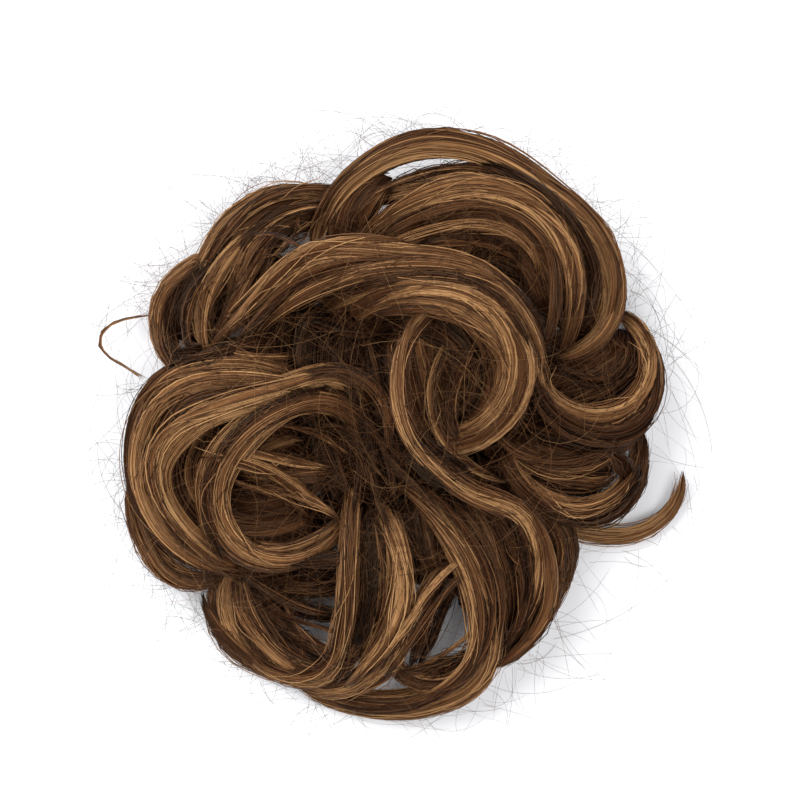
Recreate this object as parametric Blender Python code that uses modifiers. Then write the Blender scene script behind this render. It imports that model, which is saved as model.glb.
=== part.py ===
"""Top knot hairpiece: tufts of curled locks rooted on an elastic ring. Metres, +Z up."""
import math
from collections import namedtuple

import bmesh
import bpy
from mathutils import Vector

MM = 0.001
PART_NAME = "top_knot_hairpiece"

# Elastic ring, lying on the surface, in millimetres
BAND_X = -5.0
BAND_Y = 2.0
BAND_RADIUS = 27.0
BAND_WIDTH = 4.0
BAND_HEIGHT = 6.0
BAND_EDGE = 0.8
BAND_STEPS = 32

# Roots that grip the band, in millimetres
ROOT_WIDTH = 14.0
ROOT_THICK = 15.0
ROOT_HEIGHT = 8.0
ROOT_SPLIT_DEG = 1.2

# The open space inside the roots, for the wearer's own knot of hair, in millimetres
HOLLOW_RADIUS = 20.0
HOLLOW_HEIGHT = 23.0
HOLLOW_SIDES = 32

# Clearances, in millimetres
TUFT_GAP = 0.5
BAND_GAP = 0.35
BAND_UNDERCUT = 1.4
FLOOR_GAP = 0.4

# The block of space under the resting surface, in millimetres
BELOW_SPAN = 400.0
BELOW_DEPTH = 50.0

# Fineness of the locks: those wider than THICK_WIDTH have more sides and longer steps
THICK_WIDTH = 9.5
THIN_SIDES = 6
THIN_STEP = 10.5
THICK_SIDES = 8
THICK_STEP = 12.0
LEAST_STEPS = 4
ROOT_STEPS = 3
SPAN_SAMPLES = 12
TAPER_POWER = 3
WELD = 1e-6
MERGE = 1e-5

# Finish
HAIR_ROUGHNESS = 0.42
BAND_ROUGHNESS = 0.8
SHARP_DEG = 50

# Hair colours, dark to light
TONES = {
    "umber": (0.045, 0.022, 0.010),
    "chestnut": (0.105, 0.052, 0.024),
    "walnut": (0.150, 0.080, 0.036),
    "caramel": (0.250, 0.140, 0.062),
}

# A lock's route is a few hand-chosen points (x, y, z) in millimetres that a smooth curve runs through.
# Width is measured level, thick is measured upright, and tip is how much of them is left at its end.
Lock = namedtuple("Lock", "name width thick tip route")
Tuft = namedtuple("Tuft", "name tone root_from root_to locks")

TUFTS = (
    Tuft("tuft_centre", "caramel", 80, 124, (
        Lock("mass", 24, 22, 0.8, (
            (-20, 25, 12), (-12, 33, 23), (3, 35, 33), (18, 27, 37), (24, 11, 37), (13, -2, 36)
        )),
        Lock("bowl", 26, 12, 0.8, ((5, 31, 33), (9, 14, 35), (15, -5, 34))),
        Lock("crown", 30, 8, 0.8, ((-12, 34, 22), (-16, 16, 28), (-11, -4, 29), (-4, -22, 29))),
        Lock("outer", 7, 6, 0.5, (
            (-57, 21, 15), (-42, 35, 31), (-28, 46, 41), (-3, 46.5, 46), (22, 41.5, 46),
            (36, 24, 39)
        )),
        Lock("second", 9, 8, 0.5, (
            (-43, 25, 19), (-30, 37, 35), (-8, 42, 45), (16, 41, 48), (31, 31, 45), (37, 14, 38)
        )),
        Lock("third", 8, 8, 0.5, (
            (-24, 32, 29), (3, 39, 48), (23, 34, 50), (34, 19, 46), (38, 7, 38)
        )),
        Lock("crest", 10, 6, 0.5, (
            (-15, 29, 33), (3, 35.5, 52), (20, 31, 55), (30.5, 16, 51), (23, 0, 46), (6, -4, 38)
        )),
        Lock("front", 5.5, 5, 0.5, (
            (12, 35, 50), (0, 23, 54.5), (-1.5, 3, 55), (15, -17, 49), (33, -26, 40),
            (36.5, -44, 31), (24, -64, 20)
        )),
    )),
    Tuft("tuft_upper_right", "caramel", 28, 78, (
        Lock("mass", 24, 22, 0.8, (
            (12, 22, 9), (14, 38, 14), (18, 52, 18), (36, 50, 20), (47, 36, 20), (46, 24, 18)
        )),
        Lock("arch", 7.5, 7, 0.5, (
            (-26, 48, 17), (-19, 65, 27), (-2, 76.5, 31), (18, 77.5, 31), (40, 64.5, 30),
            (56, 47, 29), (57, 30, 28), (41, 18.5, 30)
        )),
        Lock("arch_leg", 12, 8, 0.5, ((-17, 47, 19), (-15, 60, 25), (-4, 69, 28))),
        Lock("rim", 13, 10, 0.5, ((22, 72, 25), (40, 59, 28), (50, 44, 27), (48, 27, 26))),
        Lock("inner_arch", 6, 7, 0.5, (
            (-14, 49, 24), (1, 61.5, 36), (21, 66, 41), (39, 58, 41), (46.5, 41, 38),
            (43, 20, 33)
        )),
        Lock("sheet", 14, 10, 0.7, (
            (-13, 47, 19), (6, 56, 29), (26, 57, 32), (38, 47, 31), (41, 28, 29)
        )),
        Lock("veil", 6, 5, 0.5, ((-14, 61, 22), (4, 67, 26), (22, 70.5, 28), (36, 62, 31))),
    )),
    Tuft("tuft_right", "walnut", -20, 26, (
        Lock("upper_mass", 24, 22, 0.8, (
            (24, 8, 9), (38, 12, 16), (52, 16, 18), (59, 20, 17), (60, 27, 14)
        )),
        Lock("lower_mass", 26, 22, 0.7, ((22, 0, 10), (38, -5, 19), (52, -8, 18), (59, -8, 14))),
        Lock("hook", 6, 6, 0.5, (
            (36, 21, 34), (41, 6.5, 36), (56, 2.5, 34), (67, 11, 28), (66, 25, 23), (58, 32, 17)
        )),
        Lock("long_hook", 5.5, 6, 0.5, (
            (34, 16, 38), (44, 1.5, 38), (60, -1.5, 33), (69, 8, 25), (66, 25, 17), (57, 32, 12)
        )),
        Lock("swag", 5.5, 8, 0.5, ((24, -1, 29), (37, -10, 30), (54, -9, 27), (66, 2, 19))),
        Lock("low_swag", 6.5, 7, 0.5, (
            (26, -4, 28), (35, -19, 29), (51, -23.5, 25), (64, -13, 17), (65, 0, 12)
        )),
        Lock("hem", 6, 9, 0.5, (
            (30, -12, 22), (44, -25, 20), (57, -25, 15), (65, -14, 11), (64, -2, 9)
        )),
        Lock("backing", 18, 13, 0.8, ((21, -7, 12), (32, -12, 17), (44, -14, 17))),
        Lock("wisp", 4.5, 4, 0.35, (
            (33, -12, 17), (40, -26, 11), (52, -31, 6), (66, -30.5, 5), (75, -24, 5),
            (78, -13, 8)
        )),
    )),
    Tuft("tuft_left", "caramel", 167, 225, (
        Lock("mass", 27, 24, 0.8, (
            (-31, -2, 10), (-42, 5, 18), (-58, 1, 21), (-64, -13, 19), (-54, -28, 17),
            (-38, -30, 15), (-24, -22, 13)
        )),
        Lock("cushion", 28, 18, 0.9, ((-28, -8, 16), (-38, -13, 20), (-54, -15, 20))),
        Lock("outer", 7, 9, 0.5, (
            (-28, 10, 29), (-50, 17, 36), (-68, 12, 31), (-76.3, -4, 23), (-72, -26, 19),
            (-50, -41, 21)
        )),
        Lock("second", 8, 8, 0.5, (
            (-29, 8, 31), (-52, 11.5, 38), (-69, 4, 32), (-72, -14, 26), (-62, -32, 24),
            (-47, -40, 25)
        )),
        Lock("bright", 8, 6, 0.5, (
            (-9, 5, 31), (-18, 13, 36), (-38, 8.5, 43), (-61, 0, 41), (-70, -14, 35),
            (-62, -30, 31), (-46, -39.5, 28)
        )),
        Lock("ring", 6.5, 7, 0.5, (
            (-12, -2, 32), (-27, 7, 42), (-45, -4, 44), (-53, -20, 39), (-46, -35, 34),
            (-30, -37, 31), (-17, -24, 35)
        )),
        Lock("inner_ring", 6, 7, 0.5, (
            (-22, 10, 36), (-44, 1, 41), (-56, -17, 36), (-49, -38, 28)
        )),
        Lock("bar", 8, 5, 0.6, ((-50, -13, 28), (-36, -15, 31), (-21, -14, 31))),
        Lock("under", 6, 10, 0.5, (
            (-75, -12, 15), (-74, -32, 11), (-64, -43.5, 10), (-50, -41, 13)
        )),
    )),
    Tuft("tuft_lower_right", "caramel", 277, 338, (
        Lock("mass", 25, 22, 0.7, ((11, -20, 9), (17, -32, 17), (26, -44, 18), (25, -58, 14))),
        Lock("lap", 14, 14, 0.7, ((3, -20, 22), (6, -34, 22), (10, -46, 17))),
        Lock("sweep", 8.5, 8, 0.5, (
            (0, -16, 36), (14, -33.5, 37), (21.5, -52, 31), (19, -70, 21), (4, -78, 12),
            (-18, -77.5, 8), (-32, -72, 7)
        )),
        Lock("inner_sweep", 9, 8, 0.5, (
            (12, -18, 30), (24, -37, 29), (27, -53, 24), (21, -66, 18)
        )),
        Lock("outer", 6.5, 8, 0.5, ((31, -21, 27), (39.5, -36, 26), (39, -51, 21), (22, -68, 14))),
        Lock("flank", 7, 10, 0.5, ((30, -20, 18), (44.5, -32, 14), (40.5, -48, 12), (25, -66, 10))),
        Lock("fill", 11, 12, 0.5, ((20, -18, 25), (31, -36, 23), (31, -50, 19), (24, -62, 15))),
    )),
    Tuft("tuft_lower_left", "walnut", 227, 275, (
        Lock("mass", 18, 22, 0.7, ((-14, -23, 9), (-10, -36, 18), (-8, -50, 19), (-13, -64, 13))),
        Lock("straight", 6, 7, 0.5, (
            (-15, -17, 35), (-16.5, -38, 38), (-18, -58, 28), (-25, -71, 16), (-41, -66, 11),
            (-51, -50, 14), (-47, -38, 18)
        )),
        Lock("middle", 7, 8, 0.5, (
            (-7, -22, 34), (-1.5, -42, 35), (-5, -58, 28), (-16, -73, 16), (-30, -73, 9)
        )),
        Lock("cross", 6, 7, 0.5, ((11, -39, 26), (0, -56, 29), (-8, -70, 20), (-22, -75, 11))),
        Lock("small_loop", 5, 7, 0.6, (
            (-4, -55, 25), (-2, -69.5, 18), (9, -73, 16), (20, -61, 22)
        )),
        Lock("sheet", 12, 10, 0.5, ((-11, -22, 30), (-9, -44, 30), (-16, -66, 19))),
        Lock("hanging", 9, 10, 0.5, (
            (-47, -39, 16), (-44, -55, 14), (-34, -66, 13), (-18, -68, 17)
        )),
        Lock("low_edge", 5, 8, 0.5, (
            (-51, -40, 10), (-53, -57, 7), (-40, -68.5, 7), (-25, -72, 8)
        )),
        Lock("strand", 4, 5, 0.6, ((-48, -40, 19), (-36, -49.5, 15), (-12, -53, 15))),
        Lock("net", 9, 8, 0.7, ((-46, -40, 12), (-32, -44, 14), (-12, -41, 15))),
    )),
    Tuft("tuft_upper_left", "chestnut", 127, 165, (
        Lock("mass", 20, 16, 0.8, (
            (-27, 17, 9), (-36, 30, 11), (-46, 42, 12), (-57, 36, 12), (-59, 22, 11)
        )),
        Lock("outline", 7, 10, 0.6, (
            (-15, 60, 17), (-33, 64.5, 16), (-50, 55, 13), (-58, 40, 12), (-57, 24, 12)
        )),
        Lock("low_lobe", 6.5, 10, 0.6, ((-50, 46, 12), (-66, 40, 10), (-69, 26, 9), (-60, 13, 12))),
        Lock("light", 5.5, 6, 0.5, (
            (-42, 54, 17), (-53.5, 42, 20), (-57.5, 29, 19), (-52, 17, 16)
        )),
        Lock("pale", 5.5, 6, 0.5, ((-36, 52, 16), (-45, 38, 20), (-52, 26, 18))),
        Lock("brow", 11, 10, 0.6, ((-18, 59, 15), (-33, 58, 17), (-45, 48, 17), (-51, 34, 16))),
    )),
)


def clear_scene():
    for obj in list(bpy.data.objects):
        bpy.data.objects.remove(obj, do_unlink=True)


def new_collection(name):
    collection = bpy.data.collections.new(name)
    bpy.context.scene.collection.children.link(collection)
    return collection


def make_material(name, colour, roughness, metallic=0.0):
    material = bpy.data.materials.new(name)
    material.use_nodes = True
    shader = material.node_tree.nodes["Principled BSDF"]
    shader.inputs["Base Color"].default_value = (*colour, 1.0)
    shader.inputs["Roughness"].default_value = roughness
    shader.inputs["Metallic"].default_value = metallic
    material.diffuse_color = (*colour, 1.0)
    return material


def span_tangents(points):
    """Unit tangents of the circles through each point and its neighbours."""
    tangents = []
    for before, here, after in zip(points, points[1:], points[2:]):
        step_in = here - before
        step_out = after - here
        tangent = step_in / step_in.length_squared + step_out / step_out.length_squared
        tangents.append(tangent.normalized())
    first_chord = (points[1] - points[0]).normalized()
    last_chord = (points[-1] - points[-2]).normalized()
    first = 2.0 * first_chord.dot(tangents[0]) * first_chord - tangents[0]
    last = 2.0 * last_chord.dot(tangents[-1]) * last_chord - tangents[-1]
    return [first, *tangents, last]


def smooth_route(route):
    """Many close points on a smooth curve through the route's own points, in metres."""
    points = [Vector(point) * MM for point in route]
    tangents = span_tangents(points)
    path = []
    for start, end, leave, arrive in zip(points, points[1:], tangents, tangents[1:]):
        chord = end - start
        pull_out = leave * 2.0 * chord.length / (1.0 + leave.dot(chord.normalized()))
        pull_in = arrive * 2.0 * chord.length / (1.0 + arrive.dot(chord.normalized()))
        for sample in range(SPAN_SAMPLES):
            t = sample / SPAN_SAMPLES
            path.append(
                start * (2 * t**3 - 3 * t**2 + 1)
                + pull_out * (t**3 - 2 * t**2 + t)
                + end * (3 * t**2 - 2 * t**3)
                + pull_in * (t**3 - t**2)
            )
    path.append(points[-1])
    return path


def even_stations(path, step):
    """Points at an even distance along a path."""
    reach = [0.0]
    for here, after in zip(path, path[1:]):
        reach.append(reach[-1] + (after - here).length)
    count = max(LEAST_STEPS, round(reach[-1] / step))
    stations = []
    index = 0
    for station in range(count + 1):
        target = reach[-1] * station / count
        while index < len(path) - 2 and reach[index + 1] < target:
            index += 1
        share = (target - reach[index]) / (reach[index + 1] - reach[index])
        stations.append(path[index].lerp(path[index + 1], share))
    return stations


def oval_section(width, thick, sides):
    """The flat closed outline that a lock is swept with."""
    curve = bpy.data.curves.new("section", "CURVE")
    spline = curve.splines.new("POLY")
    spline.points.add(sides - 1)
    spline.use_cyclic_u = True
    for index, point in enumerate(spline.points):
        angle = 2.0 * math.pi * (index + 0.5) / sides
        point.co = (width / 2 * math.cos(angle), thick / 2 * math.sin(angle), 0.0, 1.0)
    return bpy.data.objects.new("section", curve)


def lengthened(stations, distance):
    """The same stations, with the first and the last moved out in line."""
    first = stations[0] + (stations[0] - stations[1]).normalized() * distance
    last = stations[-1] + (stations[-1] - stations[-2]).normalized() * distance
    return [first, *stations[1:-1], last]


def swept_lock(name, collection, stations, lock, gap):
    """A closed lock of hair: an oval section swept along its stations, narrower at both ends."""
    width = (lock.width + 2 * gap) * MM
    thick = (lock.thick + 2 * gap) * MM
    sides = THICK_SIDES if lock.width > THICK_WIDTH else THIN_SIDES
    section = oval_section(width, thick, sides)
    collection.objects.link(section)
    curve = bpy.data.curves.new(name, "CURVE")
    curve.dimensions = "3D"
    curve.twist_mode = "Z_UP"
    curve.bevel_mode = "OBJECT"
    curve.bevel_object = section
    curve.use_fill_caps = True
    spline = curve.splines.new("POLY")
    spline.points.add(len(stations) - 1)
    for index, (point, station) in enumerate(zip(spline.points, stations)):
        along = 2.0 * index / (len(stations) - 1) - 1.0
        fullness = 1.0 - (1.0 - lock.tip) * abs(along) ** TAPER_POWER
        point.co = (*station, 1.0)
        point.radius = (fullness * lock.width + 2 * gap) * MM / width
    swept = bpy.data.objects.new(name, curve)
    collection.objects.link(swept)
    shape = mesh_object(name, collection, swept, weld=True)
    bpy.data.objects.remove(swept, do_unlink=True)
    bpy.data.objects.remove(section, do_unlink=True)
    return shape


def mesh_object(name, collection, source, weld=False):
    """A mesh copy of an object as its modifiers or bevel leave it."""
    bpy.context.view_layer.update()
    depsgraph = bpy.context.evaluated_depsgraph_get()
    mesh = bpy.data.meshes.new_from_object(source.evaluated_get(depsgraph))
    if weld:
        shape = bmesh.new()
        shape.from_mesh(mesh)
        bmesh.ops.remove_doubles(shape, verts=shape.verts, dist=WELD)
        bmesh.ops.recalc_face_normals(shape, faces=shape.faces)
        shape.to_mesh(mesh)
        shape.free()
    copy = bpy.data.objects.new(name, mesh)
    copy.matrix_world = source.matrix_world
    collection.objects.link(copy)
    return copy


def as_cutter(obj):
    obj.hide_render = True
    obj.display_type = "WIRE"


def build_band(name, collection, gap=0.0):
    """A flat-bottomed elastic ring: its section turned about the ring's middle."""
    inner = (BAND_RADIUS - BAND_WIDTH / 2 - gap) * MM
    outer = (BAND_RADIUS + BAND_WIDTH / 2 + gap) * MM
    low = -BAND_UNDERCUT * MM if gap else 0.0
    high = (BAND_HEIGHT + gap) * MM
    edge = BAND_EDGE * MM
    profile = (
        (inner + edge, high), (outer - edge, high), (outer, high - edge), (outer, low + edge),
        (outer - edge, low), (inner + edge, low), (inner, low + edge), (inner, high - edge),
    )
    mesh = bpy.data.meshes.new(name)
    edges = [(index, (index + 1) % len(profile)) for index in range(len(profile))]
    mesh.from_pydata([(x, 0.0, z) for x, z in profile], edges, [])
    band = bpy.data.objects.new(name, mesh)
    band.location = (BAND_X * MM, BAND_Y * MM, 0.0)
    collection.objects.link(band)
    screw = band.modifiers.new("turn", "SCREW")
    screw.axis = "Z"
    screw.steps = BAND_STEPS
    screw.render_steps = BAND_STEPS
    screw.use_merge_vertices = True
    screw.merge_threshold = MERGE
    screw.use_smooth_shade = True
    return band


def build_floor(collection):
    """Everything under the resting surface, taken off each tuft."""
    mesh = bpy.data.meshes.new("below")
    shape = bmesh.new()
    bmesh.ops.create_cube(shape, size=1.0)
    size = (BELOW_SPAN * MM, BELOW_SPAN * MM, BELOW_DEPTH * MM)
    middle = (0.0, 0.0, (FLOOR_GAP - BELOW_DEPTH / 2) * MM)
    bmesh.ops.scale(shape, vec=size, verts=shape.verts)
    bmesh.ops.translate(shape, vec=middle, verts=shape.verts)
    shape.to_mesh(mesh)
    shape.free()
    below = bpy.data.objects.new("below", mesh)
    collection.objects.link(below)
    as_cutter(below)


def build_hollow(collection):
    """The round hollow inside the roots, open downwards, taken off each tuft."""
    mesh = bpy.data.meshes.new("hollow")
    shape = bmesh.new()
    height = 2 * HOLLOW_HEIGHT * MM
    radius = HOLLOW_RADIUS * MM
    bmesh.ops.create_cone(
        shape, cap_ends=True, segments=HOLLOW_SIDES, radius1=radius, radius2=radius, depth=height
    )
    bmesh.ops.translate(shape, vec=(BAND_X * MM, BAND_Y * MM, 0.0), verts=shape.verts)
    shape.to_mesh(mesh)
    shape.free()
    hollow = bpy.data.objects.new("hollow", mesh)
    collection.objects.link(hollow)
    as_cutter(hollow)


def root_route(tuft):
    """The stretch of the band that a tuft's root grips."""
    route = []
    start = tuft.root_from + ROOT_SPLIT_DEG / 2
    end = tuft.root_to - ROOT_SPLIT_DEG / 2
    for step in range(ROOT_STEPS + 1):
        angle = math.radians(start + (end - start) * step / ROOT_STEPS)
        x = BAND_X + BAND_RADIUS * math.cos(angle)
        y = BAND_Y + BAND_RADIUS * math.sin(angle)
        route.append((x, y, ROOT_HEIGHT))
    return route


def tuft_shapes(tuft, collection, gap=0.0):
    """A tuft's root and locks as separate closed shapes, swollen by a clearance."""
    root = Lock("root", ROOT_WIDTH, ROOT_THICK, 1.0, root_route(tuft))
    shapes = []
    for lock in (root, *tuft.locks):
        step = THICK_STEP if lock.width > THICK_WIDTH else THIN_STEP
        stations = even_stations(smooth_route(lock.route), step * MM)
        stations = lengthened(stations, gap * MM)
        shape = swept_lock(f"{tuft.name}_{lock.name}", collection, stations, lock, gap)
        as_cutter(shape)
        shapes.append(shape)
    return shapes


def boolean(obj, operation, collection):
    modifier = obj.modifiers.new(operation.lower(), "BOOLEAN")
    modifier.operation = operation
    modifier.solver = "MANIFOLD"
    modifier.operand_type = "COLLECTION"
    modifier.collection = collection


def largest_body(mesh):
    """Removes every loose scrap, so that one closed body is left."""
    shape = bmesh.new()
    shape.from_mesh(mesh)
    unseen = set(shape.verts)
    bodies = []
    while unseen:
        body = {unseen.pop()}
        edge_of_body = list(body)
        while edge_of_body:
            vertex = edge_of_body.pop()
            for edge in vertex.link_edges:
                other = edge.other_vert(vertex)
                if other in unseen:
                    unseen.remove(other)
                    body.add(other)
                    edge_of_body.append(other)
        bodies.append(body)
    bodies.sort(key=len, reverse=True)
    scraps = [vertex for body in bodies[1:] for vertex in body]
    bmesh.ops.delete(shape, geom=scraps, context="VERTS")
    shape.to_mesh(mesh)
    shape.free()


def build_tuft(tuft, parts, cutters, taken):
    """One tuft: its locks fused to its root, cut back from all that is already in place."""
    locks = bpy.data.collections.new(f"{tuft.name}_locks")
    cutters.children.link(locks)
    shapes = tuft_shapes(tuft, locks)
    root = shapes[0]
    locks.objects.unlink(root)
    parts.objects.link(root)
    root.hide_render = False
    boolean(root, "UNION", locks)
    boolean(root, "DIFFERENCE", taken)
    obj = mesh_object(tuft.name, parts, root)
    bpy.data.objects.remove(root, do_unlink=True)
    largest_body(obj.data)
    obj.data.materials.clear()
    obj.data.materials.append(make_material(f"{tuft.name}_hair", TONES[tuft.tone], HAIR_ROUGHNESS))
    obj.data.shade_smooth()
    obj.data.set_sharp_from_angle(angle=math.radians(SHARP_DEG))
    tuft_shapes(tuft, taken, TUFT_GAP)


def main():
    clear_scene()
    parts = new_collection(PART_NAME)
    cutters = new_collection("cutters")
    taken = bpy.data.collections.new("taken_space")
    cutters.children.link(taken)
    band = build_band("elastic_band", parts)
    band.data.materials.append(make_material("woven_elastic", TONES["umber"], BAND_ROUGHNESS))
    as_cutter(build_band("band_clearance", taken, BAND_GAP))
    build_floor(taken)
    build_hollow(taken)
    for tuft in TUFTS:
        build_tuft(tuft, parts, cutters, taken)


main()
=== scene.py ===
"""The top knot hairpiece's looks: combed locks and fine strands of hair on an elastic ring."""
import math
from collections import namedtuple

import bmesh
import bpy
import numpy as np
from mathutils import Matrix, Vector


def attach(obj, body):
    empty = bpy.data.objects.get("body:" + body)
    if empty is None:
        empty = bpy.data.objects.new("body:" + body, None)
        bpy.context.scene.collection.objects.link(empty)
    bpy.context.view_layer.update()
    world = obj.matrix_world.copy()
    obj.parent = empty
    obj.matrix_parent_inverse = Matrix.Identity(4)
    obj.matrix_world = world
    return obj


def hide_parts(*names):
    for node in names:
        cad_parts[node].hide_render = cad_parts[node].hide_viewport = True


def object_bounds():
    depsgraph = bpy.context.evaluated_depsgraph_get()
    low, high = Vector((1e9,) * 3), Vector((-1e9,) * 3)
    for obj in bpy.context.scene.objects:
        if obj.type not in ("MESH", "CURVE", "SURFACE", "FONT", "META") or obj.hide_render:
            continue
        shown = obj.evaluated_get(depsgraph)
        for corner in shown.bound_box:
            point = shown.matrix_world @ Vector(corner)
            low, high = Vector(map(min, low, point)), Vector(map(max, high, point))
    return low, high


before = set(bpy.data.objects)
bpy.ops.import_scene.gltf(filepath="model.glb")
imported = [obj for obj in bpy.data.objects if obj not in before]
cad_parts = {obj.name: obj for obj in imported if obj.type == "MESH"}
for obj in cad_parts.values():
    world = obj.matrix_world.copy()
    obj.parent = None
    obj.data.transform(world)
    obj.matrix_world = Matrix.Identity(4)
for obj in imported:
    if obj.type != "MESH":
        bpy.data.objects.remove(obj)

cad_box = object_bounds()

MM = 0.001
TAU = 2 * math.pi
SEED = 7
TINY = 1e-6

# Down to the finishes, lengths are in millimetres, tones and shares go from 0 to 1, and a pair of numbers
# is a least and a most.

# Elastic ring
BAND_X = -5.0
BAND_Y = 2.0
BAND_RADIUS = 27.0
BAND_WIDTH = 4.0
BAND_HEIGHT = 6.0

# Roots that grip the band
ROOT_WIDTH = 14.0
ROOT_THICK = 15.0
ROOT_HEIGHT = 8.0
ROOT_STEPS = 3
ROOT_TONE = 0.25

# The open space inside the roots, and the least gaps to the band and the surface
HOLLOW_RADIUS = 20.0
HOLLOW_HEIGHT = 23.0
BAND_GAP = 0.4
FLOOR_GAP = 0.5

# A lock's combed ridges and the grooves between them
RIDGE_PITCH = 3.0
GROOVE_SHARE = 0.17
GROOVE_MOST = 1.1
LEAST_RIDGES = 4
RIDGE_TWIST = 0.5
RIDGE_TONES = 0.26
RIDGE_STREAKS = 3
STREAK_TONES = 0.16
RIDGE_SWELL = 0.9
SWELL_SHARE = 0.09
LEAST_SWELL = 0.3
SWELL_BEAT = 0.6
CROWN_POWER = 0.7

# A lock's body, its painted shading and how it narrows to its ends
BODY_STEP = 3.0
BODY_PITCH = 0.8
LEAST_SIDES = 10
BODY_SINK = 0.15
# Painted shade and light on the locks: bodies darker than their strands and darker in the grooves, tops
# lighter, flanks and both ends darker
BODY_PAINTED_SHADE = 0.06
GROOVE_PAINTED_SHADE = 0.26
TOP_PAINTED_LIGHT = 0.08
FLANK_PAINTED_SHADE = 0.06
FLANK_POWER = 3
END_PAINTED_SHADE = 0.18
END_POWER = 4
END_TAPER = 7.0
END_SHARE = 0.35
TAPER_POWER = 3
SPAN_SAMPLES = 12
MERGE_WITHIN = 0.01

# Fine strands
STRANDS_PER_MM = 4.0
WIDE_LOCK = 17
WIDE_STRANDS_PER_MM = 2.4
LEAST_STRANDS = 8
STRAND_STEP = 4.8
LEAST_STEPS = 5
STRAND_RADIUS = 0.15
STRAND_SIZES = (0.75, 1.2)
STRAND_TIP = 0.25
STRAND_WIDENING = 5
STRAND_LIFT = (-0.15, 0.18)
STRAND_TONES = 0.05
ODD_SHARE = 0.13
ODD_LIGHTER = 0.20
ODD_DARKER = 0.24
GLOW_TONES = 0.07
GLOW_BEATS = (0.6, 1.2)
UPPER_SHARE = 0.45
END_TRIM = 0.10
SHORT_SHARE = 0.15
LATE_START = (0.1, 0.5)
EARLY_FINISH = (0.5, 0.9)
WANDER = 0.5
WANDER_BEATS = (0.3, 1.1)
LOOSE_SHARE = 0.22
LOOSE_WANDER = 3.4
LOOSE_LIFT = (0.2, 1.7)
FLARE_LIFT = 0.5
FLARE_POWER = 6
TUBE_SIDES = 3
LONGEST_LOCK = 200.0

# Veils: narrow locks laid over the others
VEIL_STEP = 5.0
VEIL_ROUNDS = 6
VEIL_TUCK = 3.0
VEIL_EASE = 0.25
VEIL_FLATNESS = 0.55
VEIL_TIP = 0.3

# The map of heights, in square cells, and the least height that counts as hair
CELL = 2.0
MAP_MARGIN = 12
LEAST_HAIR = 6

# Loose single hairs of both kinds
FINE_STEPS = 10
FINE_TONES = 0.18
FINE_SIZES = (0.5, 1.0)
FINE_TIP = 0.4
FINE_WIDENING = 3
FINE_SPAN = 0.3

# Frizz, which lies across the hair and mostly in its hollows
FRIZZ_COUNT = 1800
FRIZZ_LOWEST = 10
FRIZZ_BLUR = 12
FRIZZ_HOLLOW = 1.2
FRIZZ_PROUD = 0.8
FRIZZ_HELD = 0.7
FRIZZ_RADIUS = 0.048
FRIZZ_TONE = 0.58
# Painted shade: how much darker frizz is deep in a hollow, and the depth at which it is darkest
FRIZZ_PAINTED_SHADE = 0.24
FRIZZ_DEPTH = 7.0
FRIZZ_BEND = 1.5
FRIZZ_BEND_LENGTH = 30
FRIZZ_WOBBLE = 0.25
FRIZZ_SPAN_ROUNDS = 8
FRIZZ_EVEN_ROUNDS = 2
FRIZZ_LIFT = 1.4

# Flyaways, which stand off the outline, more of them at the upper left
FLYAWAY_COUNT = 950
FLYAWAY_SIDE = math.radians(135)
FLYAWAY_LEAN = 0.5
FLYAWAY_TURN = (0.25, 1.45)
FLYAWAY_BEND = 1.3
FLYAWAY_HEIGHT = (0.25, 1.0)
FLYAWAY_RISE = 2
FLYAWAY_RISE_SPREAD = 7
FLYAWAY_RADIUS = 0.05
FLYAWAY_REACH = 13.0
FLYAWAY_TONE = 0.38
RIM_SECTORS = 72
RIM_DEPTH = 9

# The hair's colour map. On a strand u is the tone and v a place along it, and on a lock's body u runs
# round it, in the lock's own strip, and v along it.
STRAND_MAP = "OFBake"
TONE_WIDTH = 0.004
MAP_EDGE = 0.01
STRIP_EDGE = 0.02

# Hair colours by tone, dark to light
HAIR_TONES = (
    (0.00, (0.007, 0.003, 0.0015)),
    (0.25, (0.020, 0.0072, 0.0034)),
    (0.50, (0.058, 0.0225, 0.0096)),
    (0.75, (0.166, 0.0735, 0.0285)),
    (1.00, (0.420, 0.230, 0.0980)),
)

# Finish of the hair: a noise's scale across the map and along it, how far it shifts the tone, roughness
# from one end of the noise's usual range to the other, and a bump's strength and its height in metres
STRAND_STREAKS = (40.0, 5.0, 1.0)
STRAND_SHIFT = 0.20
STRAND_SHEEN = (30.0, 8.0, 1.0)
STRAND_ROUGHNESS = (0.32, 0.48)
STRAND_SPECULAR = 0.30
STRAND_SPECULAR_TINT = (1.0, 0.72, 0.48, 1.0)
FINE_STREAKS = (560.0, 4.0, 1.0)
FINE_SHIFT = 0.60
BROAD_STREAKS = (130.0, 3.0, 1.0)
BROAD_SHIFT = 0.40
BODY_ROUGHNESS = (0.55, 0.38)
BODY_BUMP = (0.6, 0.0003)
NOISE_RANGE = (0.3, 0.7)

# Finish of the band: ribs round the ring, and threads in radians per metre of its height
BAND_RIBS = 130.0
BAND_THREADS = 7000.0
BAND_FUZZ = 900.0
BAND_ROUGHNESS = (0.65, 0.85)
BAND_BUMP = (0.7, 0.0004)
BAND_DARK = (0.012, 0.008, 0.006, 1.0)
BAND_LIGHT = (0.055, 0.036, 0.024, 1.0)

# Floor and light, in metres
FLOOR_HALF = 3.0
FLOOR_COLOUR = (0.90, 0.90, 0.925, 1.0)
FLOOR_ROUGHNESS = 0.9
WORLD_STRENGTH = 0.55
Lamp = namedtuple("Lamp", "name place size power")
LAMPS = (
    Lamp("key", (-0.7, 0.6, 1.5), 1.2, 32.0),
    Lamp("fill", (0.5, -0.2, 1.7), 0.7, 16.0),
)

# Camera, straight above, in metres
CAMERA_X = -0.00196
CAMERA_Y = 0.00686
CAMERA_Z = 2.0
PHOTO_SPAN = 0.224
PHOTO_PLANE = 0.025
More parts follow.
